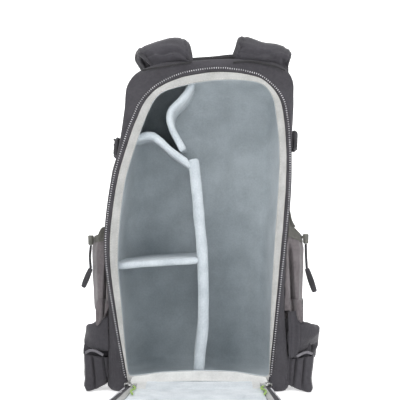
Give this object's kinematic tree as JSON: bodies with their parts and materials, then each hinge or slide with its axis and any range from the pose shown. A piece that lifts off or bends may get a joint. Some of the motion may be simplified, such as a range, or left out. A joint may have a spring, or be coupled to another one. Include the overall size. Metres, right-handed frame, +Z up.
{
  "type": "camera backpack",
  "caption": "Upright padded camera backpack, rear panel unzipped and folded down, open lined compartment with padded dividers, straps over the top.",
  "frame": {"origin": "centre of the bag's flat base, on the surface that it stands on", "axes": "+Z up, -Y out of the open rear side towards the folded-down panel, +X to the right of someone who looks into the opening"},
  "size_m": [0.3236, 0.6019, 0.4823],
  "materials": {
    "nylon": "matte woven nylon, dark warm grey",
    "lining": "brushed loop lining, pale blue grey",
    "binding": "pale warm grey binding tape",
    "zip_tape": "matte black woven tape",
    "zip_teeth": "grey coil",
    "stretch": "mauve-grey stretch knit",
    "trim": "olive-grey trim",
    "plastic": "moulded dark grey acetal",
    "cord": "braided dark elastic cord",
    "green_cord": "braided lime-green cord",
    "metal": "die-cast zinc, nickel plated"
  },
  "bodies": {
    "root": {"bag_shell": "nylon", "liner": "lining", "opening_binding": "binding", "zip_tape": "zip_tape", "zip_chain": "zip_teeth", "divider_spine": "lining", "divider_diagonal": "lining", "divider_crown": "lining", "divider_cross": "lining", "flap_panel": "nylon", "flap_binding": "binding", "flap_lining": "lining", "flap_zip_chain": "zip_teeth", "shoulder_strap_left": "nylon", "shoulder_strap_right": "nylon", "grab_handle": "zip_tape", "hip_wing_left": "nylon", "hip_wing_right": "nylon", "belt_sleeve_left": "nylon", "belt_sleeve_right": "nylon", "side_pocket_left": "stretch", "side_pocket_right": "stretch", "pocket_rim_left": "trim", "pocket_rim_right": "trim", "cord_lock_left": "plastic", "cord_lock_right": "plastic", "pocket_cord_left": "cord", "pocket_cord_right": "cord", "cord_tab_left": "plastic", "cord_tab_right": "plastic", "compression_strap_left": "zip_tape", "compression_strap_right": "zip_tape", "compression_buckle_left": "plastic", "compression_buckle_right": "plastic", "ladder_lock_left": "plastic", "ladder_lock_right": "plastic", "strap_webbing_left": "zip_tape", "strap_webbing_right": "zip_tape", "zip_slider_left": "metal", "zip_slider_right": "metal", "zip_pull_left": "metal", "zip_pull_right": "metal", "pull_cord_left": "green_cord", "pull_cord_right": "green_cord"}
  },
  "joints": []
}
